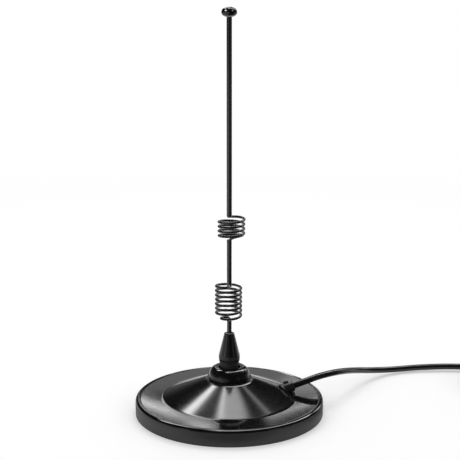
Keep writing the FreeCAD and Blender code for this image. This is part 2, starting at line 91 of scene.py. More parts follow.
class AntennaSizes(bpy.types.PropertyGroup):
    """Sizes of the pieces that a user would change."""

    base_radius: size("Base radius", "Outside of the boot", 44.8)
    boot_height: size("Boot height", "Height of the matte side", 6.5)
    crest_radius: size("Crest radius", "Where the rounded shoulder ends", 43.2)
    crest_height: size("Crest height", "Top of the rounded shoulder", 7.7)
    flange_radius: size("Flange radius", "Outer edge of the flat flange", 42.7)
    flange_height: size("Flange height", "Height of the flange at its outer edge", 7.45)
    cone_foot_radius: size("Cone foot radius", "Where the cone starts", 31.5)
    cone_foot_height: size("Cone foot height", "Height of the cone's foot", 7.8)
    hub_radius: size("Hub radius", "Top of the cone", 11.5)
    hub_height: size("Hub height", "Height of the cone's top", 16.0)
    wire_radius: size("Wire radius", "Radius of the whip's wire in its coils", 0.62)
    coil_radius: size("Coil radius", "Centre line of the whip's coils", 5.85)
    coil_pitch: size("Coil pitch", "Rise of the whip's coils in a turn", 2.13)
    cable_radius: size("Cable radius", "Radius of the coax lead", 1.6)
    gland_azimuth: angle("Gland azimuth", "Where the cable leaves the cone", 9)
    gland_tilt: angle("Gland tilt", "Rise of the cable as it leaves", 18)
    seat_tilt: angle("Seat tilt", "Lean of the gland's flange", 48)
    seat_depth: size("Seat depth", "From the gland's mouth back to its flange", 4.7)
    strap_width: size("Strap width", "Width of the coil's straps", 6)
    strap_thickness: size("Strap thickness", "Thickness of the coil's straps", 0.8)


class AntennaFinishes(bpy.types.PropertyGroup):
    """Colours of the finishes."""

    lacquer: colour("Lacquer", "Gloss black of the cover", (0.004, 0.004, 0.0045))
    boot_rubber: colour("Boot rubber", "Matte black side", (0.026, 0.026, 0.027))
    dome_plastic: colour("Dome plastic", "Gloss black collar and knob", (0.004, 0.004, 0.0045))
    plating: colour("Plating", "Black plating of the ferrule", (0.010, 0.010, 0.011))
    coating: colour("Coating", "Black coating of the wire and its sleeves", (0.008, 0.008, 0.009))
    jacket: colour("Jacket", "Cable jacket and gland", (0.007, 0.007, 0.007))
    nickel: colour("Nickel", "Plated connector", (0.66, 0.64, 0.6))
    brass: colour("Brass", "Stud and nut", (0.6, 0.44, 0.2))
    steel: colour("Steel", "Pole plate and washer", (0.48, 0.48, 0.5))
    white: colour("White", "Connector's insulator", (0.8, 0.8, 0.78))


class AntennaStage(bpy.types.PropertyGroup):
    """Camera and light."""

    camera_distance: size("Camera distance", "In front of the whip", 481.9)
    camera_height: size("Camera height", "Above the floor", 185)
    camera_offset: size("Camera offset", "To the right of the whip", 0.33)
    camera_pitch: angle("Camera pitch", "Downward lean", 11.325)
    lens: FloatProperty(name="Lens", description="Focal length", default=82.89, subtype="DISTANCE_CAMERA")
    ambient: level("Ambient", "Light of the room on matte surfaces", 0.6)
    room_shine: level("Room shine", "Dark walls of the tent in reflections", 0.015)
    wall_shine: level("Wall shine", "Foot of the tent's back wall in reflections", 0.5)
    panel_shine: level("Panel shine", "Share of the light of the tent's panels in reflections", 1.0)
    floor_white: level("Floor white", "Reflectance of the floor", 0.8)
    floor_lift: level("Floor lift", "Own glow of the floor for the eye and in reflections", 0.3)


# Modelling helpers


def clear_selection():
    if bpy.context.object and bpy.context.object.mode != "OBJECT":
        bpy.ops.object.mode_set(mode="OBJECT")
    bpy.ops.object.select_all(action="DESELECT")


def pick(piece):
    """Makes one object the only selected and active one."""
    clear_selection()
    piece.select_set(True)
    bpy.context.view_layer.objects.active = piece


def settle(piece):
    """Puts a piece's place into its mesh, so that its object sits at the origin."""
    pick(piece)
    bpy.ops.object.transform_apply(location=True, rotation=True, scale=True)


def start_point(name, place):
    """New mesh of one selected vertex, in edit mode."""
    clear_selection()
    bpy.ops.mesh.primitive_plane_add(size=mm(1), location=place)
    piece = bpy.context.object
    piece.name = name
    piece.data.name = name
    bpy.ops.object.mode_set(mode="EDIT")
    bpy.ops.mesh.merge(type="CENTER")
    return piece


def draw(points):
    """Extrudes the selected vertex from point to point, the first being where it is."""
    for before, after in zip(points, points[1:]):
        bpy.ops.mesh.extrude_vertices_move(TRANSFORM_OT_translate={"value": after - before})


def mend():
    """Merges doubles and turns all faces outwards, in edit mode."""
    bpy.ops.mesh.select_all(action="SELECT")
    bpy.ops.mesh.remove_doubles(threshold=mm(0.002))
    bpy.ops.mesh.normals_make_consistent(inside=False)


def lathe(name, profile, steps=128):
    """Turns a profile of radii and heights in millimetres about Z, closed unless it ends on the axis."""
    points = [in_mm(radius, 0, height) for radius, height in profile]
    if profile[0][0] > 0 or profile[-1][0] > 0:
        points.append(points[0])
    piece = start_point(name, points[0])
    draw(points)
    bpy.ops.mesh.select_all(action="SELECT")
    bpy.ops.mesh.spin(steps=steps, angle=FULL_TURN, center=(0, 0, 0), axis=(0, 0, 1))
    mend()
    bpy.ops.object.mode_set(mode="OBJECT")
    settle(piece)
    return piece


def arc(centre, radii, start, end, count):
    """Points of an elliptic arc in a profile, in millimetres and degrees."""
    points = []
    for step in range(count + 1):
        turn = math.radians(start + (end - start) * step / count)
        points.append((centre[0] + radii[0] * math.cos(turn), centre[1] + radii[1] * math.sin(turn)))
    return points


def use_modifier(piece, kind, **settings):
    """Adds a modifier with its settings and applies it."""
    pick(piece)
    modifier = piece.modifiers.new(kind.title(), kind)
    for name, value in settings.items():
        setattr(modifier, name, value)
    bpy.ops.object.modifier_apply(modifier=modifier.name)


def soften_edges(piece, width, segments=3, sharper_than=15):
    use_modifier(
        piece, "BEVEL", width=mm(width), segments=segments, limit_method="ANGLE",
        angle_limit=math.radians(sharper_than), use_clamp_overlap=True,
    )


def cut(piece, tool, operation="DIFFERENCE"):
    """Cuts a piece with another, or joins it, and deletes the other."""
    use_modifier(piece, "BOOLEAN", object=tool, operation=operation, solver="EXACT")
    bpy.data.objects.remove(tool)


def stand(piece, place, direction):
    """Turns a piece built up Z to a direction, moves it there and settles it."""
    piece.rotation_mode = "QUATERNION"
    piece.rotation_quaternion = UP.rotation_difference(direction)
    piece.location = place
    settle(piece)


def hand_over(piece, finish, slot, *nodes, smooth=30):
    """Shades a finished piece, gives it its material and puts it on the frame in place of its nodes."""
    if piece.type == "MESH":
        pick(piece)
        bpy.ops.object.shade_smooth_by_angle(angle=math.radians(smooth))
    piece.data.materials.clear()
    piece.data.materials.append(finish)
    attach(piece, BODY)
    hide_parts(*nodes)
    return piece


# Shader helpers


class Value:
    """A shader socket that takes part in Python expressions."""

    def __init__(self, finish, socket):
        self.finish = finish
        self.socket = socket

    def _math(self, operation, first, second):
        return self.finish.node("ShaderNodeMath", {"operation": operation}, {0: first, 1: second})

    def __add__(self, other):
        return self._math("ADD", self, other)

    def __sub__(self, other):
        return self._math("SUBTRACT", self, other)

    def __rsub__(self, other):
        return self._math("SUBTRACT", other, self)

    def __mul__(self, other):
        return self._math("MULTIPLY", self, other)

    __radd__ = __add__
    __rmul__ = __mul__

    def larger(self, other):
        return self._math("MAXIMUM", self, other)

    def arcsine(self):
        return self._math("ARCSINE", self, 0.0)

    def heading(self, other):
        """Angle of a direction with this part across and the other ahead."""
        return self._math("ARCTAN2", self, other)

    def within(self, low, high, soft):
        """1 between two values, with soft edges."""
        return self.step(low - soft, low + soft) * (1 - self.step(high - soft, high + soft))

    def sine(self):
        return self._math("SINE", self, 0.0)

    def root(self):
        return self._math("SQRT", self, 0.0)

    def step(self, low, high):
        """Smooth step from 0 at low to 1 at high."""
        return self.finish.node(
            "ShaderNodeMapRange", {"interpolation_type": "SMOOTHSTEP"}, {0: self, 1: low, 2: high}
        )


class Finish:
    """Node tree of a material or world."""

    def __init__(self, owner, output):
        owner.use_nodes = True
        self.owner = owner
        self.tree = owner.node_tree
        self.tree.nodes.clear()
        self.end = self.tree.nodes.new(output)

    def node(self, kind, settings=None, sockets=None, out=0):
        """Adds a node: its settings first, then the values or links of its sockets. Gives one output."""
        made = self.tree.nodes.new(kind)
        for name, value in (settings or {}).items():
            setattr(made, name, value)
        for name, value in (sockets or {}).items():
            self.feed(made.inputs[name], value)
        return Value(self, made.outputs[out])

    def feed(self, socket, value):
        if isinstance(value, Value):
            self.tree.links.new(value.socket, socket)
        elif hasattr(value, "__len__") and len(value) == 3 and socket.type == "RGBA":
            socket.default_value = (*value, 1)
        else:
            socket.default_value = value

    def close(self, shader):
        self.feed(self.end.inputs["Surface"], shader)
        return self.owner

    def place(self):
        """Object coordinates."""
        return self.node("ShaderNodeTexCoord", out="Object")

    def parts(self, vector):
        """The three parts of a vector."""
        split = self.tree.nodes.new("ShaderNodeSeparateXYZ")
        self.feed(split.inputs[0], vector)
        return [Value(self, output) for output in split.outputs]

    def noise(self, scale, detail=2, stretch=(1, 1, 1)):
        """Noise of so many grains a millimetre, stretched along the axes."""
        grains = [1000 * scale * part for part in stretch]
        place = self.node("ShaderNodeMapping", {}, {0: self.place(), 3: grains})
        return self.node("ShaderNodeTexNoise", {}, {"Vector": place, "Scale": 1.0, "Detail": detail})

    def mix(self, factor, first, second):
        settings = {"data_type": "RGBA"}
        return self.node("ShaderNodeMix", settings, {0: factor, 6: first, 7: second}, out=2)

    def bump(self, height, depth):
        """Normal of a height from 0 to 1 over a depth in millimetres."""
        return self.node("ShaderNodeBump", {}, {"Height": height, "Distance": mm(depth), "Strength": 1.0})


def new_finish(name):
    return Finish(bpy.data.materials.new(name), "ShaderNodeOutputMaterial")


def shade(tint, share):
    return [min(1, part * share) for part in tint]


def coated(name, tint, rough, swing, **extra):
    """Black plastic, lacquer or rubber: mottled colour, uneven gloss, fine grain and specks of dust."""
    grain = extra.get("grain", 6)
    depth = extra.get("depth", 0.002)
    dust = extra.get("dust", 0.25)
    stretch = extra.get("stretch", (1, 1, 1))
    finish = new_finish(name)
    cloud = finish.noise(0.08, 3)
    fine = finish.noise(grain, 2, stretch)
    speck = finish.noise(3.1, 1).step(0.70, 0.78) * dust
    worn = finish.noise(0.35, 4, stretch)
    tone = finish.mix(cloud, shade(tint, 0.75), shade(tint, 1.3))
    tone = finish.mix(speck, tone, shade(tint, 4))
    gloss = rough + swing * (worn - 0.5) + swing * speck
    sockets = {
        "Base Color": tone,
        "Roughness": gloss,
        "IOR": extra.get("ior", 1.5),
        "Normal": finish.bump(fine, depth),
    }
    return finish.close(finish.node("ShaderNodeBsdfPrincipled", {}, sockets))


def turned_metal(name, tint, rough, rings):
    """Metal turned about an axis along Z or Y: fine rings of uneven gloss under a thin haze."""
    finish = new_finish(name)
    y, z = finish.parts(finish.place())[1:]
    ring = ((y + z) * rings * 1000).sine() * 0.5 + 0.5
    haze = finish.noise(0.5, 4)
    tarnish = finish.noise(0.12, 3).step(0.35, 0.75)
    tone = finish.mix(tarnish, tint, shade(tint, 0.72))
    sockets = {
        "Base Color": finish.mix(haze.step(0.62, 0.8) * 0.1, tone, shade(tint, 0.5)),
        "Roughness": rough + 0.08 * ring + 0.16 * (haze - 0.5),
        "Metallic": 1.0,
        "Normal": finish.bump(ring * 0.6 + haze * 0.4, 0.0015),
    }
    return finish.close(finish.node("ShaderNodeBsdfPrincipled", {}, sockets))


def plating_finish(tint):
    """Black plating on turned brass: polished taper over satin bands, with fine tool rings."""
    finish = new_finish("black_plating")
    z = finish.parts(finish.place())[2]
    taper = z.step(mm(27.9), mm(28.3))
    ring = (z * 12000).sine() * 0.5 + 0.5
    haze = finish.noise(0.6, 4)
    satin = finish.mix(haze, shade(tint, 1.6), shade(tint, 2.6))
    sockets = {
        "Base Color": finish.mix(taper, satin, shade(tint, 0.5)),
        "Roughness": 0.44 - 0.26 * taper + 0.06 * ring + 0.08 * (haze - 0.5),
        "Normal": finish.bump(ring * 0.5 + haze * 0.5, 0.0008),
    }
    return finish.close(finish.node("ShaderNodeBsdfPrincipled", {}, sockets))


def dome_finish(tint):
    """Black moulded plastic: satin on the side, polished towards the rim, with faint cloud and fine grain."""
    finish = new_finish("dome_plastic")
    z = finish.parts(finish.place())[2]
    rim = z.step(mm(21.3), mm(21.9))
    cloud = finish.noise(0.08, 3)
    fine = finish.noise(1.5, 2)
    sockets = {
        "Base Color": finish.mix(cloud, shade(tint, 0.75), shade(tint, 1.3)),
        "Roughness": 0.27 - 0.18 * rim + 0.05 * (finish.noise(0.35, 4) - 0.5),
        "Normal": finish.bump(fine, 0.0004),
    }
    return finish.close(finish.node("ShaderNodeBsdfPrincipled", {}, sockets))


def lacquer_finish(tint, cone_foot):
    """Black lacquer: polished flange, slightly satin cone, with faint haze, orange peel and dust."""
    finish = new_finish("gloss_lacquer")
    x, y = finish.parts(finish.place())[:2]
    cone = 1 - (x * x + y * y).root().step(cone_foot - mm(0.2), cone_foot + mm(0.4))
    haze = finish.noise(0.35, 4)
    speck = finish.noise(3.1, 1).step(0.72, 0.8) * 0.12
    tone = finish.mix(finish.noise(0.08, 3), shade(tint, 0.75), shade(tint, 1.3))
    sockets = {
        "Base Color": finish.mix(speck, tone, shade(tint, 5)),
        "Roughness": 0.08 + 0.06 * cone + 0.05 * (haze - 0.5) + speck,
        "IOR": 1.52,
        "Normal": finish.bump(finish.noise(1.2, 2), 0.0006),
    }
    return finish.close(finish.node("ShaderNodeBsdfPrincipled", {}, sockets))


def boot_finish(tint):
    """Moulded rubber: fine pebble grain, faint upright flow lines and a paler dusty foot."""
    finish = new_finish("boot_rubber")
    z = finish.parts(finish.place())[2]
    cloud = finish.noise(0.05, 3)
    grain = finish.noise(5, 3)
    flow = finish.noise(0.4, 2, (1, 1, 0.05))
    foot = (1 - z.step(mm(0.1), mm(1.6))) * finish.noise(0.9, 4).step(0.4, 0.75)
    tone = finish.mix(cloud * 0.6 + flow * 0.4, shade(tint, 0.82), shade(tint, 1.2))
    sockets = {
        "Base Color": finish.mix(foot * 0.35, tone, shade(tint, 2.2)),
        "Roughness": 0.52 + 0.18 * (grain - 0.5) + 0.08 * (flow - 0.5),
        "Normal": finish.bump(grain * 0.7 + flow * 0.3, 0.02),
    }
    return finish.close(finish.node("ShaderNodeBsdfPrincipled", {}, sockets))


def ferrite_finish():
    """Sintered magnet: dull grey with pale chips."""
    finish = new_finish("ferrite")
    chip = finish.noise(1.4, 5).step(0.62, 0.72)
    tone = finish.mix(finish.noise(0.2, 4), (0.05, 0.05, 0.054), (0.08, 0.08, 0.085))
    sockets = {
        "Base Color": finish.mix(chip * 0.5, tone, (0.2, 0.2, 0.21)),
        "Roughness": 0.6 + 0.2 * (chip - 0.5),
        "Normal": finish.bump(finish.noise(3, 4), 0.03),
    }
    return finish.close(finish.node("ShaderNodeBsdfPrincipled", {}, sockets))


# Gland's axis, shared by the gland, the cover's pocket and the cable


def lean(azimuth, tilt):
    return Vector((math.cos(azimuth) * math.cos(tilt), math.sin(azimuth) * math.cos(tilt), math.sin(tilt)))


def gland_mouth():
    """Point where the cable leaves the gland, and its direction there."""
    sizes = bpy.context.scene.antenna_sizes
    reach = sizes.cone_foot_radius
    mouth = Vector((reach * math.cos(sizes.gland_azimuth), reach * math.sin(sizes.gland_azimuth), 0))
    mouth.z = sizes.cone_foot_height + mm(3.2)
    return mouth, lean(sizes.gland_azimuth, sizes.gland_tilt)


def gland_seat():
    """Middle of the gland's flange on the cone, and the direction it faces."""
    sizes = bpy.context.scene.antenna_sizes
    mouth, direction = gland_mouth()
    return mouth - direction * sizes.seat_depth, lean(sizes.gland_azimuth, sizes.seat_tilt)


def rod(name, radius, low, high, place, direction, steps=48):
    """Plain bar along a direction from a place, used to cut or join."""
    piece = lathe(name, [(0, low), (radius, low), (radius, high), (0, high)], steps)
    stand(piece, place, direction)
    return piece


# Operators


class ANTENNA_OT_base(bpy.types.Operator):
    """Turn the lacquered cover and the rubber boot of the magnet base"""

    bl_idname = "antenna.base"
    bl_label = "Base"

    def execute(self, context):
        sizes = context.scene.antenna_sizes
        finishes = context.scene.antenna_finishes
        radius = sizes.base_radius * 1000
        boot = sizes.boot_height * 1000
        crest_r = sizes.crest_radius * 1000
        crest_z = sizes.crest_height * 1000
        foot_r = sizes.cone_foot_radius * 1000
        foot_z = sizes.cone_foot_height * 1000
        hub_r = sizes.hub_radius * 1000
        hub_z = sizes.hub_height * 1000
        shoulder = arc((crest_r, boot), (radius - crest_r, crest_z - boot), 0, 90, 6)
        rim_r = sizes.flange_radius * 1000
        rim_z = sizes.flange_height * 1000
        fall = (foot_z - rim_z) / (rim_r - foot_r)
        climb = (hub_z - foot_z) / (foot_r - hub_r)
        # Narrow strips along both borders keep the flange's middle flat in its shading
        strip = 0.7
        fillet = 0.6
        outside = shoulder + [
            (rim_r, rim_z),
            (rim_r - strip, rim_z + strip * fall),
            (foot_r + 2 * fillet, foot_z - 2 * fillet * fall),
            (foot_r + fillet, foot_z - fillet * fall),
            (foot_r + 0.2, foot_z + 0.02),
            (foot_r - 0.2, foot_z + 0.107),
            (foot_r - fillet, foot_z + fillet * climb),
            (hub_r, hub_z),
        ]
        inside = [
            (4.6, hub_z), (4.6, hub_z - 1.3), (hub_r - 0.3, hub_z - 1.3), (foot_r - 0.3, foot_z - 1.3),
            (41.4, 6.15), (41.9, 6.15), (41.9, 0.6), (43.2, 0.6), (43.2, boot),
        ]
        cover = lathe("cover", outside + inside, 192)
        soften_edges(cover, 0.28, 3, 12)
        mouth, direction = gland_mouth()
        seat, facing = gland_seat()
        cut(cover, rod("boss", 3.6, -3.7, -0.7, seat, facing), "UNION")
        cut(cover, rod("flange_room", 3.4, -0.72, 9, seat, facing))
        cut(cover, rod("body_room", 2.7, -3.2, 6, mouth, direction))
        cut(cover, rod("passage", 2.3, -14, 0, mouth, direction))
        lacquer = lacquer_finish(finishes.lacquer, sizes.cone_foot_radius)
        hand_over(cover, lacquer, "cover_lacquer", "base_cover", smooth=22)
        skirt = [(41.8, 0.02), (41.8, 0.6), (43.2, 0.6), (43.2, boot), (radius, boot), (radius, 0)]
        boot_piece = lathe("boot", skirt, 192)
        soften_edges(boot_piece, 0.22, 3, 40)
        hand_over(boot_piece, boot_finish(finishes.boot_rubber), "boot_rubber", "rubber_boot")
        return {"FINISHED"}


class ANTENNA_OT_collar(bpy.types.Operator):
    """Turn the gasket and the insulating dome"""

    bl_idname = "antenna.collar"
    bl_label = "Collar"

    def execute(self, context):
        finishes = context.scene.antenna_finishes
        lip = [(4.6, 15.98), (11.65, 15.98), (11.25, 16.22), (11.1, 16.3)]
        gasket = lathe("gasket", lip + [(11.1, 16.7), (10.9, 16.9), (4.6, 16.9)])
        rubber = coated("gasket_rubber", finishes.jacket, 0.2, 0.06, grain=2, depth=0.001)
        hand_over(gasket, rubber, "gasket_rubber", "collar_gasket")
        side = arc((6.45, 17.5), (3.4, 4.9), 0, 90, 14)
        rim = arc((5.7, 21.9), (0.5, 0.5), 90, 180, 5)
        dome = lathe("dome", [(2.6, 16.9), (9.85, 16.9)] + side + rim + [(5.2, 19.8), (2.6, 19.8)])
        hand_over(dome, dome_finish(finishes.dome_plastic), "dome_plastic", "dome_collar", smooth=32)
        return {"FINISHED"}


class ANTENNA_OT_ferrule(bpy.types.Operator):
    """Turn the tapered ferrule that carries the whip"""

    bl_idname = "antenna.ferrule"
    bl_label = "Ferrule"

    def execute(self, context):
        finishes = context.scene.antenna_finishes
        foot = [(2.5, 21.0), (4.2, 21.0), (4.7, 25.0), (4.35, 25.0), (4.35, 25.2), (4.85, 25.2), (4.9, 25.75)]
        foot += [(3.9, 25.75), (3.9, 26.35), (5.0, 26.35), (5.0, 28.1)]
        tip = arc((1.85, 38.4), (0.62, 0.6), 0, 90, 12)
        bore = [(1.5, 39.0), (1.12, 38.6), (1.12, 33.0), (0.5, 33.0), (0.5, 27.8), (2.5, 27.8)]
        ferrule = lathe("ferrule", foot + tip + bore, 96)
        soften_edges(ferrule, 0.06, 2, 8)
        hand_over(ferrule, plating_finish(finishes.plating), "ferrule_black", "whip_ferrule", smooth=20)
        return {"FINISHED"}


def helix(middle_x, bottom, start_degrees, turns, per_turn=12):
    """Control points of a right-handed helix, set out so that the smooth curve has the coil's radius."""
    sizes = bpy.context.scene.antenna_sizes
    step = FULL_TURN / per_turn
    radius = sizes.coil_radius * 3 / (2 + math.cos(step))
    points = []
    for number in range(round(turns * per_turn) + 1):
        turn = math.radians(start_degrees) + number * step
        rise = sizes.coil_pitch * number / per_turn
        x = mm(middle_x) + radius * math.cos(turn)
        points.append(Vector((x, radius * math.sin(turn), mm(bottom) + rise)))
    return points


def smooth_curve(name, points, order, radius, sides, resolution=6):
    """Round bar along a NURBS spline through the neighbourhood of its control points."""
    clear_selection()
    bpy.ops.curve.primitive_nurbs_path_add()
    piece = bpy.context.object
    piece.name = name
    curve = piece.data
    curve.name = name
    curve.splines.clear()
    spline = curve.splines.new("NURBS")
    spline.points.add(len(points) - 1)
    for control, point in zip(spline.points, points):
        control.co = (*point, 1)
    spline.order_u = order
    spline.use_endpoint_u = True
    spline.resolution_u = resolution
    curve.dimensions = "3D"
    curve.bevel_depth = radius
    curve.bevel_resolution = sides // 2 - 2
    curve.use_fill_caps = True
    return piece


class ANTENNA_OT_whip(bpy.types.Operator):
    """Bend the whip's wire with its two coils and put on its sleeves and knob"""

    bl_idname = "antenna.whip"
    bl_label = "Whip"

    def execute(self, context):
        sizes = context.scene.antenna_sizes
        finishes = context.scene.antenna_finishes
        foot = [(0, 0, 33), (0, 0, 37), (0, 0, 41), (0, 0, 43.2), (0, 0, 44.9), (0.1, 1.0, 45.85)]
        loop = [(-0.6, 1.9, 46.0), (-2.9, 1.9, 46.0), (-4.2, 0.2, 46.05), (-3.6, -2.0, 46.2),
                (-0.9, -4.0, 46.45), (2.7, -4.7, 46.95), (5.0, -3.1, 47.45)]
        inward = [(-5.5, -3.0, 61.9), (-2.6, -4.4, 61.9), (-0.4, -3.0, 61.7), (0, -0.9, 61.7), (0, 0, 62.8),
                  (0, 0, 65), (0, 0, 70), (0, 0, 76), (0, 0, 80), (0, 0, 82.4)]
        outward = [(0.2, -0.3, 84.0), (1.5, -1.6, 85.0), (3.7, -2.1, 85.75), (5.9, -0.9, 85.95),
                   (6.5, 1.6, 85.85), (4.8, 4.5, 85.45), (1.6, 5.85, 85.25), (-1.7, 5.35, 85.3),
                   (-4.2, 3.2, 85.55)]
        tail = [(6.9, 2.2, 93.65), (5.2, 3.8, 93.95), (2.6, 2.7, 94.4), (0.9, 0.6, 94.6), (0, 0, 95.2),
                (0, 0, 96.5), (0, 0, 100), (0, 0, 130), (0, 0, 160), (0, 0, 187)]
        points = [in_mm(*point) for point in foot + loop]
        points += helix(-0.35, 47.83, 0, 6.5)
        points += [in_mm(*point) for point in inward + outward]
        points += helix(1.0, 85.95, 180, 3.5)
        points += [in_mm(*point) for point in tail]
        wire = smooth_curve("whip_wire", points, 4, sizes.wire_radius, 12)
        pick(wire)
        bpy.ops.object.convert(target="MESH")
        coating = coated("wire_coating", finishes.coating, 0.26, 0.08, grain=3, depth=0.0006)
        hand_over(wire, coating, "wire_black", "radiator_wire", smooth=60)
        # The whip throws no mirror image on the cone
        wire.visible_glossy = False
        satin = coated(
            "sleeve_coating", finishes.coating, 0.24, 0.06, grain=2, depth=0.0001, dust=0.0,
            stretch=(1, 1, 0.05), ior=1.62,
        )
        for name, node, low_end, foot_round, rise, top_round in (
            ("lower_rod", "lower_sleeve", 0.0, 0.45, 0.0, 0.3),
            ("middle_rod", "middle_sleeve", 1.6, 0.6, 0.9, 0.62),
            ("upper_rod", "upper_sleeve", 0.95, 0.7, 0.0, 0.3),
        ):
            low, high = [corner * 1000 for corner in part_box(node)]
            foot_z = low.z - low_end
            top_z = high.z + rise
            ends = arc((high.x - foot_round, foot_z + foot_round), (foot_round, foot_round), -90, 0, 5)
            ends += arc((high.x - top_round, top_z - top_round), (top_round, top_round), 0, 90, 6)
            sleeve = lathe(name, [(0.5, foot_z)] + ends + [(0.5, top_z)], 40)
            hand_over(sleeve, satin, "sleeve_black", node, smooth=40)
            sleeve.visible_glossy = False
        low, high = [corner * 1000 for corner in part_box("tip_knob")]
        half = 2.3
        edge = 1.9
        middle = high.z - half
        crown = ((high.x - edge) ** 2 + half ** 2 - edge ** 2) / (2 * (half - edge))
        meet = math.degrees(math.atan2(high.x - edge, crown - half))
        side = arc((0, middle + crown - half), (crown, crown), -77, meet - 90, 6)[:-1]
        side += arc((high.x - edge, middle), (edge, edge), meet - 90, 90 - meet, 16)
        side += arc((0, middle - crown + half), (crown, crown), 90 - meet, 90, 6)[1:]
        knob = lathe("knob", [(0.57, side[0][1])] + side + [(0, middle + 1), (0.57, middle + 1)], 64)
        plastic = coated(
            "knob_plastic", finishes.dome_plastic, 0.08, 0.03, grain=2, depth=0.0002, dust=0.0, ior=1.42
        )
        hand_over(knob, plastic, "knob_plastic", "tip_knob", smooth=40)
        return {"FINISHED"}


class ANTENNA_OT_gland(bpy.types.Operator):
    """Shape the cable gland on the cone's flank"""

    bl_idname = "antenna.gland"
    bl_label = "Gland"

    def execute(self, context):
        finishes = context.scene.antenna_finishes
        mouth, direction = gland_mouth()
        seat, facing = gland_seat()
        end = arc((2.15, -0.45), (0.45, 0.45), 0, 90, 4)
        gland = lathe("gland", [(0, -6.4), (2.6, -6.4)] + end + [(0, 0)], 48)
        stand(gland, mouth, direction)
        bpy.ops.mesh.primitive_cube_add(size=1)
        rib = context.object
        rib.scale = in_mm(3.4, 1.3, 2.4)
        rib.location = in_mm(-1.7, 0, -3.2)
        settle(rib)
        soften_edges(rib, 0.2, 2, 30)
        stand(rib, mouth, direction)
        cut(gland, rib, "UNION")
        cut(gland, rod("behind", 12, -12, -0.3, seat, facing))
        flange = lathe("flange", [(0, -0.7), (3.3, -0.7), (3.3, 0.45), (0, 0.45)], 48)
        soften_edges(flange, 0.55, 4, 40)
        stand(flange, seat, facing)
        cut(gland, flange, "UNION")
        cut(gland, rod("spigot", 2.2, -9.6, -2.5, mouth, direction), "UNION")
        cut(gland, rod("bore", 1.58, -12, 2, mouth, direction))
        rubber = coated("gland_rubber", shade(finishes.jacket, 2.0), 0.32, 0.06, grain=3, depth=0.0008)
        hand_over(gland, rubber, "gland_rubber", "cable_gland")
        return {"FINISHED"}


CABLE_ROUTE = (
    (11.9, 3.7, 14.2), (19.3, 9.3, 14.1), (26.5, 19.7, 11.6), (33.9, 31.5, 7.9), (43.3, 42.1, 4.2),
    (55.3, 49.5, 2.1), (69.9, 53.1, 2.2), (85.9, 53.7, 2.5), (100.9, 52.7, 2.4), (113.9, 52.1, 2.6),
)
COIL_MEAN_RADIUS = 18.6
COIL_COLUMNS = 5
COIL_LAYERS = 4
TURN_POINTS = 16


def coil_middle():
    """Middle of the tied coil on the floor: the ring that the frame has there."""
    low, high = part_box("cable_coil")
    return Vector(((low.x + high.x) / 2, (low.y + high.y) / 2, 0)), low.z


def wound(number, columns):
    """Column and layer of a turn, layers laid from the outside in and back again."""
    layer, place = divmod(number, columns)
    return (columns - 1 - place if layer % 2 == 0 else place), layer


def coil_points():
    """Control points of the coil's turns, clockwise from its back, each turn easing into the next."""
    sizes = bpy.context.scene.antenna_sizes
    middle, bottom = coil_middle()
    pitch = 2 * sizes.cable_radius
    step = FULL_TURN / TURN_POINTS
    spread = 8 / (6 + 2 * math.cos(step))
    turns = COIL_COLUMNS * COIL_LAYERS
    points = []
    for number in range(turns * TURN_POINTS + TURN_POINTS // 4):
        turn, part = divmod(number, TURN_POINTS)
        here = wound(min(turn, turns - 1), COIL_COLUMNS)
        there = wound(min(turn + 1, turns - 1), COIL_COLUMNS)
        ease = max(0.0, part / TURN_POINTS - 0.75) * 4
        column = here[0] + (there[0] - here[0]) * ease
        layer = here[1] + (there[1] - here[1]) * ease
        radius = (mm(COIL_MEAN_RADIUS) + (column - (COIL_COLUMNS - 1) / 2) * pitch) * spread
        heading = math.pi / 2 - number * step
        height = bottom + pitch * (layer + 0.5)
        points.append(middle + Vector((radius * math.cos(heading), radius * math.sin(heading), height)))
    return points


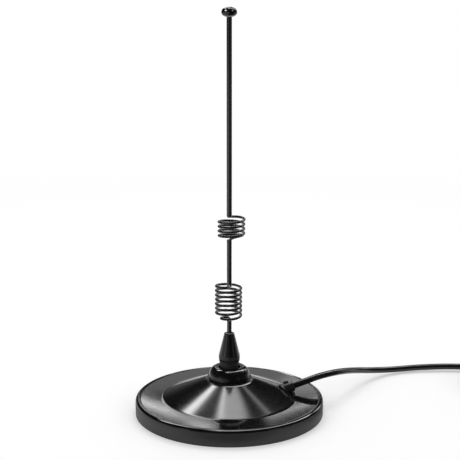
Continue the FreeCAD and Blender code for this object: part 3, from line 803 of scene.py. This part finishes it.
class ANTENNA_OT_straps(bpy.types.Operator):
    """Wrap the two straps that hold the coil of spare cable"""

    bl_idname = "antenna.straps"
    bl_label = "Straps"

    def execute(self, context):
        sizes = context.scene.antenna_sizes
        finishes = context.scene.antenna_finishes
        middle, bottom = coil_middle()
        radius = sizes.cable_radius * 1000
        side = radius * COIL_COLUMNS
        top = radius * COIL_LAYERS
        centre_z = bottom * 1000 + top
        outline = []
        for across, up, start in ((1, 1, 0), (-1, 1, 90), (-1, -1, 180), (1, -1, 270)):
            corner = (COIL_MEAN_RADIUS + across * (side - radius), centre_z + up * (top - radius))
            outline += arc(corner, (radius, radius), start, start + 90, 6)
        points = [in_mm(x, 0, z) for x, z in outline + outline[:1]]
        strap = start_point("straps", points[0])
        draw(points)
        bpy.ops.mesh.select_all(action="SELECT")
        across = Vector((0, sizes.strap_width, 0))
        bpy.ops.mesh.extrude_region_move(TRANSFORM_OT_translate={"value": across})
        mend()
        bpy.ops.object.mode_set(mode="OBJECT")
        use_modifier(strap, "SOLIDIFY", thickness=sizes.strap_thickness, offset=1)
        bpy.ops.mesh.primitive_cube_add(size=1)
        tongue = context.object
        tongue.scale = (sizes.strap_thickness, sizes.strap_width, mm(8))
        tongue.location = in_mm(COIL_MEAN_RADIUS + side, 0, centre_z - 1)
        tongue.location += Vector((sizes.strap_thickness * 0.9, sizes.strap_width / 2, 0))
        settle(tongue)
        settle(strap)
        cut(strap, tongue, "UNION")
        soften_edges(strap, 0.15, 2, 40)
        strap.location.y = -sizes.strap_width / 2
        settle(strap)
        second = strap.copy()
        second.data = strap.data.copy()
        context.collection.objects.link(second)
        for piece, degrees in ((strap, 75), (second, 255)):
            piece.rotation_euler.z = math.radians(degrees)
            piece.location = middle
            settle(piece)
        pick(strap)
        second.select_set(True)
        bpy.ops.object.join()
        weave = coated("strap_weave", finishes.boot_rubber, 0.7, 0.1, grain=2, depth=0.02)
        hand_over(strap, weave, "tie_plastic", "coil_ties")
        return {"FINISHED"}


class ANTENNA_OT_connector(bpy.types.Operator):
    """Turn the connector's boot, crimp and threaded jack"""

    bl_idname = "antenna.connector"
    bl_label = "Connector"

    def execute(self, context):
        finishes = context.scene.antenna_finishes
        nickel = turned_metal("nickel_plate", finishes.nickel, 0.16, 5.0)
        back = Vector((0, -1, 0))
        low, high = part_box("connector_boot")
        axis = Vector(((low.x + high.x) / 2, high.y, (low.z + high.z) / 2))
        ribs = []
        for rib in range(4):
            foot = 1.6 + 1.5 * rib
            ribs += [(2.4, foot), (2.05, foot + 0.2), (2.05, foot + 0.7), (2.4, foot + 0.9)]
        boot = lathe("strain_boot", [(1.6, 0), (2.2, 0), (2.4, 0.3)] + ribs + [(2.4, 8), (1.6, 8)], 48)
        soften_edges(boot, 0.1, 2, 25)
        stand(boot, axis, back)
        hand_over(boot, bpy.data.materials["gland_rubber"], "gland_rubber", "connector_boot")
        axis.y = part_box("crimp_ferrule")[1].y
        waist = [(2.7, 1.5), (2.45, 2.2), (2.4, 3.0), (2.4, 6.0), (2.45, 6.8), (2.7, 7.5)]
        crimp = lathe("crimp", [(1.6, 0), (2.7, 0)] + waist + [(2.7, 9), (1.6, 9)], 64)
        soften_edges(crimp, 0.12, 2, 30)
        stand(crimp, axis, back)
        hand_over(crimp, nickel, "connector_nickel", "crimp_ferrule")
        axis.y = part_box("connector_body")[1].y
        jack = lathe("jack", [(0, 2), (9 / math.sqrt(3), 2), (9 / math.sqrt(3), 6), (0, 6)], 6)
        corners = lathe("corners", [(0, 1.5), (4.4, 1.5), (5.1, 2.4), (5.1, 5.6), (4.4, 6.5), (0, 6.5)], 48)
        cut(jack, corners, "INTERSECT")
        core = lathe("core", [(0, 0), (2.9, 0), (2.9, 3), (3.7, 3), (3.7, 13.5), (3.3, 14), (0, 14)], 64)
        cut(jack, core, "UNION")
        turns = 9
        reach = 3.62
        ridge = []
        for number in range(turns * 24 + 1):
            turn = number * FULL_TURN / 24
            rise = 6.6 + 6.6 * number / (turns * 24)
            ridge.append(in_mm(reach * math.cos(turn), reach * math.sin(turn), rise))
        thread = smooth_curve("thread", ridge, 3, mm(0.34), 8)
        pick(thread)
        bpy.ops.object.convert(target="MESH")
        cut(jack, thread, "UNION")
        cut(jack, rod("jack_bore", 2.7, 2, 16, Vector((0, 0, 0)), UP))
        stand(jack, axis, back)
        hand_over(jack, nickel, "connector_nickel", "connector_body")
        return {"FINISHED"}


class ANTENNA_OT_cable(bpy.types.Operator):
    """Lay the coax lead from the gland to its tied coil and on to the connector"""

    bl_idname = "antenna.cable"
    bl_label = "Cable"

    def execute(self, context):
        sizes = context.scene.antenna_sizes
        finishes = context.scene.antenna_finishes
        mouth, direction = gland_mouth()
        points = [mouth, mouth + direction * mm(6)]
        points += [Vector((mouth.x + mm(x), mouth.y + mm(y), mm(z))) for x, y, z in CABLE_ROUTE]
        points += coil_points()
        low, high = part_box("connector_boot")
        axis = (low + high) / 2
        middle, bottom = coil_middle()
        top = bottom + sizes.cable_radius * (2 * COIL_LAYERS - 1)
        for back, height in (
            (0, top), (-7, top), (-14, top - mm(0.6)), (-20, top - mm(4)), (-26, axis.z + mm(0.6)),
        ):
            points.append(Vector((axis.x, middle.y + mm(back), height)))
        points += [Vector((axis.x, high.y, axis.z)), Vector((axis.x, low.y, axis.z))]
        points.append(Vector((axis.x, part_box("crimp_ferrule")[0].y, axis.z)))
        cable = smooth_curve("cable", points, 3, sizes.cable_radius, 16, resolution=8)
        jacket = coated("cable_jacket", finishes.jacket, 0.2, 0.05, grain=2, depth=0.00004, dust=0.0)
        hand_over(cable, jacket, "cable_jacket", "cable_run", "cable_coil")
        carried = [bpy.data.objects[name] for name in ("straps", "strain_boot", "crimp", "jack")]
        carried += [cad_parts[name] for name in ("connector_insulator", "connector_contact")]
        return {"FINISHED"}


class ANTENNA_OT_inner_parts(bpy.types.Operator):
    """Give the frame's own pieces inside the base and on the cable's end their materials"""

    bl_idname = "antenna.inner_parts"
    bl_label = "Inner parts"

    def execute(self, context):
        finishes = context.scene.antenna_finishes
        brass = turned_metal("turned_brass", finishes.brass, 0.25, 6.0)
        steel = turned_metal("plated_steel", finishes.steel, 0.3, 3.0)
        tin = turned_metal("tinned_tag", (0.6, 0.6, 0.58), 0.32, 2.0)
        copper = turned_metal("bare_copper", (0.7, 0.36, 0.22), 0.3, 8.0)
        gold = turned_metal("gold_plate", (0.8, 0.58, 0.22), 0.2, 6.0)
        natural = coated("natural_plastic", (0.6, 0.59, 0.55), 0.4, 0.1, dust=0.0)
        white = coated("white_insulator", finishes.white, 0.35, 0.1, dust=0.0)
        rubber = coated("pad_rubber", finishes.boot_rubber, 0.6, 0.1, grain=3, depth=0.01)
        nodes = {
            "base_pad": rubber, "ring_magnet": ferrite_finish(), "magnet_plate": steel, "contact_stud": brass,
            "stud_nut": brass, "lock_washer": steel, "centre_tag": tin, "earth_tag": tin,
            "insulator_bush": natural, "core_lead": copper, "braid_lead": copper,
            "cable_tail": bpy.data.materials["cable_jacket"],
            "connector_insulator": white, "connector_contact": gold,
        }
        for name, finish in nodes.items():
            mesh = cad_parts[name].data
            mesh.materials.clear()
            mesh.materials.append(finish)
        return {"FINISHED"}


# Stage


def seen_directly(finish):
    """1 for the eye, for reflections and through glass, 0 for the light that surfaces gather."""
    rays = [finish.node("ShaderNodeLightPath", out=kind) for kind in
            ("Is Camera Ray", "Is Glossy Ray", "Is Transmission Ray")]
    return rays[0].larger(rays[1]).larger(rays[2])


def floor_finish(stage):
    """Pale floor that keeps the shadow near the object and reads as white paper further out."""
    finish = new_finish("floor_paper")
    x, y = finish.parts(finish.place())[:2]
    far = (x * x + y * y).root().step(0.3, 0.9)
    seen = seen_directly(finish)
    fibre = finish.noise(0.4, 3)
    near = finish.node("ShaderNodeBsdfPrincipled", {}, {
        "Base Color": finish.mix(fibre, [stage.floor_white * 0.99] * 3, [stage.floor_white] * 3),
        "Roughness": 0.9,
        "Specular IOR Level": 0.0,
        "Emission Color": finish.mix(seen, (0, 0, 0), [stage.floor_lift] * 3),
        "Emission Strength": 1.0,
    })
    paper = finish.node("ShaderNodeEmission", {}, {"Color": (1, 1, 1), "Strength": 1.0})
    return finish.close(finish.node("ShaderNodeMixShader", {}, {0: far * seen, 1: near, 2: paper}))


# Panels of the tent: from and to in degrees round from the back, from and to in degrees up, softness, light

TENT_PANELS = (
    (-42, -12, 44.5, 50.8, 1.6, 13.0),
    (-27, -9, 52, 60, 3.0, 0.4),
    (-12, 17, 57, 70, 3.0, 5.5),
    (-12, -7, 58, 70, 1.5, 7.0),
    (17, 36, 48.4, 50.6, 0.8, 3.4),
    (-10, 10, 40, 53, 1.0, 2.0),
    (33, 46, 14, 30, 2.0, 3.5),
    (33, 54, 34, 58, 2.0, 8.0),
    (31, 58, 58, 76, 2.0, 9.0),
    (-60, 60, 75, 88, 2.0, 8.0),
    (-134, -122, -8, 14, 3.0, 1.4),
    (122, 134, -8, 14, 3.0, 0.5),
    (-178, -60, -14, 3, 1.5, 0.8),
)


# Parts of the arched lamp that the flange mirrors: degrees round from the back, degrees up, softness, light

ARCH_BANDS = (
    (-9, -3.3, 25.75, 26.2, 0.25, 7.0),
    (-9, -5.0, 24.8, 26.4, 0.4, 2.2),
    (-3.3, -1.2, 26.1, 26.5, 0.25, 11.0),
    (-10, 1.0, 29.6, 35, 0.4, 7.0),
    (3.3, 9, 25.2, 25.8, 0.25, 4.8),
    (3.8, 9, 18.5, 24.2, 0.3, 0.6),
)
ARCH_BEND = 0.095
ARCH_END_SOFTNESS = 2.4


def tent_finish(stage):
    """Tent of dark cloth with a pale foot behind and soft panels of light, as reflections show it."""
    finish = new_finish("studio_tent")
    direction = finish.node("ShaderNodeVectorMath", {"operation": "NORMALIZE"}, {0: finish.place()})
    x, y, z = finish.parts(direction)
    around = x.heading(y) * math.degrees(1)
    above = z.arcsine() * math.degrees(1)
    foot = around.within(-8.5, 10, 1.5) * (1 - above.step(18, 21))
    foot = foot.larger(around.within(-5, 55, 5) * (1 - above.step(5, 10)) * 1.6)
    foot = foot.larger(around.within(-60, -5, 5) * (1 - above.step(0, 24)) * 0.4)
    glow = foot * above.step(0.8, 2.2) * stage.wall_shine + stage.room_shine
    for left, right, low, high, soft, light in TENT_PANELS:
        panel = above.within(low, high, soft) * around.within(left, right, soft)
        glow = glow + panel * (light * stage.panel_shine)
    arch = above + around * around * ARCH_BEND
    for left, right, low, high, soft, light in ARCH_BANDS:
        band = arch.within(low, high, soft) * around.within(left, right, soft * ARCH_END_SOFTNESS)
        glow = glow + band * (light * stage.panel_shine)
    return finish.close(finish.node("ShaderNodeEmission", {}, {"Color": glow, "Strength": 1.0}))


def card_finish():
    """Black card that only reflections show."""
    finish = new_finish("black_card")
    fibre = finish.noise(0.2, 3)
    tone = finish.mix(fibre, (0.008, 0.008, 0.008), (0.014, 0.014, 0.014))
    return finish.close(finish.node("ShaderNodeBsdfPrincipled", {}, {"Base Color": tone, "Roughness": 0.9}))


def only_reflected(piece):
    """Shows a piece of the stage in reflections and nowhere else."""
    piece.visible_camera = False
    piece.visible_diffuse = False
    piece.visible_transmission = False
    piece.visible_shadow = False


# Outlines of the black cards on the floor, in millimetres

FRONT_CARD = (
    (-40, -48), (46, -48), (52, 4), (78, 42), (220, 60), (2400, -300), (700, -2600), (-200, -2600),
    (-25, -200),
)
BACK_CARD = ((-2500, 380), (2500, 380), (1800, 2300), (-1800, 2300))
KNOB_MIDDLE = 187.6


def floor_card(name, outline, finish):
    """Lays a black card on the floor that only reflections show."""
    corners = [in_mm(*corner, 0.5) for corner in outline + outline[:1]]
    card = start_point(name, corners[0])
    draw(corners)
    bpy.ops.mesh.select_all(action="SELECT")
    bpy.ops.mesh.remove_doubles()
    bpy.ops.mesh.edge_face_add()
    bpy.ops.object.mode_set(mode="OBJECT")
    settle(card)
    card.data.materials.append(finish)
    only_reflected(card)


def lamp_card(name, place, radius, light):
    """Small round lamp by the knob, facing it, that only reflections show."""
    bpy.ops.mesh.primitive_circle_add(
        vertices=48, radius=mm(radius), fill_type="NGON", location=in_mm(*place)
    )
    card = bpy.context.object
    card.name = name
    towards = in_mm(0, 0, KNOB_MIDDLE) - card.location
    card.rotation_euler = towards.to_track_quat("Z", "Y").to_euler()
    settle(card)
    finish = new_finish(name)
    card.data.materials.append(finish.close(finish.node("ShaderNodeEmission", {}, {0: (1, 1, 1), 1: light})))
    only_reflected(card)


def room_light(stage):
    """White room for the eye and in what mirrors it, soft light for matte surfaces."""
    finish = Finish(bpy.data.worlds.new("studio"), "ShaderNodeOutputWorld")
    strength = stage.ambient + (1 - stage.ambient) * seen_directly(finish)
    bpy.context.scene.world = finish.close(
        finish.node("ShaderNodeBackground", {}, {0: (1, 1, 1), 1: strength})
    )


def softbox(name, azimuth, elevation, distance, width, height, radiance):
    """Area lamp that faces the base, placed round it in degrees, azimuth 0 being behind it."""
    bpy.ops.object.light_add(type="AREA")
    lamp = bpy.context.object
    lamp.name = name
    around = math.radians(azimuth)
    above = math.radians(elevation)
    level_part = math.cos(above)
    direction = Vector((math.sin(around) * level_part, math.cos(around) * level_part, math.sin(above)))
    lamp.location = direction * distance + in_mm(0, 0, 12)
    lamp.rotation_euler = direction.to_track_quat("Z", "Y").to_euler()
    lamp.data.shape = "RECTANGLE"
    lamp.data.size = width
    lamp.data.size_y = height
    lamp.data.energy = radiance * math.pi * width * height
    lamp.visible_camera = False
    lamp.visible_glossy = False


class ANTENNA_OT_stage(bpy.types.Operator):
    """Set the floor, the room, the lamps and the camera"""

    bl_idname = "antenna.stage"
    bl_label = "Stage"

    def execute(self, context):
        stage = context.scene.antenna_stage
        clear_selection()
        bpy.ops.mesh.primitive_circle_add(
            vertices=96, radius=6, fill_type="NGON", location=(0, 0, -mm(0.05))
        )
        floor = context.object
        floor.name = "floor"
        settle(floor)
        floor.data.materials.append(floor_finish(stage))
        room_light(stage)
        bpy.ops.mesh.primitive_uv_sphere_add(segments=48, ring_count=24, radius=3)
        tent = context.object
        tent.name = "tent"
        tent.data.materials.append(tent_finish(stage))
        only_reflected(tent)
        cloth = card_finish()
        floor_card("front_card", FRONT_CARD, cloth)
        floor_card("back_card", BACK_CARD, cloth)
        lamp_card("left_spot", (-24.3, -15.8, 207.2), 9, 26.0)
        lamp_card("right_spot", (24.3, -15.8, 206.8), 7, 9.0)
        softbox("overhead", 0, 62, 1.0, 0.62, 0.42, 3.2)
        softbox("left_front", -120, 36, 1.0, 0.30, 0.30, 3.2)
        softbox("right_front", 120, 34, 1.0, 0.30, 0.30, 1.6)
        bpy.ops.object.camera_add()
        camera = context.object
        camera.name = "camera"
        camera.location = (stage.camera_offset, -stage.camera_distance, stage.camera_height)
        camera.rotation_euler = (math.pi / 2 - stage.camera_pitch, 0, 0)
        camera.data.lens = stage.lens
        camera.data.sensor_width = 36
        context.scene.camera = camera
        context.scene.view_settings.view_transform = "Standard"
        return {"FINISHED"}


class ANTENNA_PT_panel(bpy.types.Panel):
    """Lists the antenna's pieces"""

    bl_label = "Magnetic mount antenna"
    bl_idname = "ANTENNA_PT_panel"
    bl_space_type = "VIEW_3D"
    bl_region_type = "UI"
    bl_category = "Antenna"

    def draw(self, context):
        for operator in OPERATORS:
            self.layout.operator(operator.bl_idname)


OPERATORS = (
    ANTENNA_OT_base, ANTENNA_OT_collar, ANTENNA_OT_ferrule, ANTENNA_OT_whip, ANTENNA_OT_gland,
    ANTENNA_OT_straps, ANTENNA_OT_connector, ANTENNA_OT_cable, ANTENNA_OT_inner_parts, ANTENNA_OT_stage,
)
GROUPS = {
    "antenna_sizes": AntennaSizes,
    "antenna_finishes": AntennaFinishes,
    "antenna_stage": AntennaStage,
}


def register():
    for group in GROUPS.values():
        bpy.utils.register_class(group)
    for name, group in GROUPS.items():
        setattr(bpy.types.Scene, name, PointerProperty(type=group))
    for kind in OPERATORS + (ANTENNA_PT_panel,):
        bpy.utils.register_class(kind)


def unregister():
    for kind in (ANTENNA_PT_panel,) + OPERATORS[::-1]:
        bpy.utils.unregister_class(kind)
    for name in GROUPS:
        delattr(bpy.types.Scene, name)
    for group in GROUPS.values():
        bpy.utils.unregister_class(group)


def main():
    register()
    for operator in OPERATORS:
        family, name = operator.bl_idname.split(".")
        getattr(getattr(bpy.ops, family), name)()


if __name__ == "__main__":
    main()
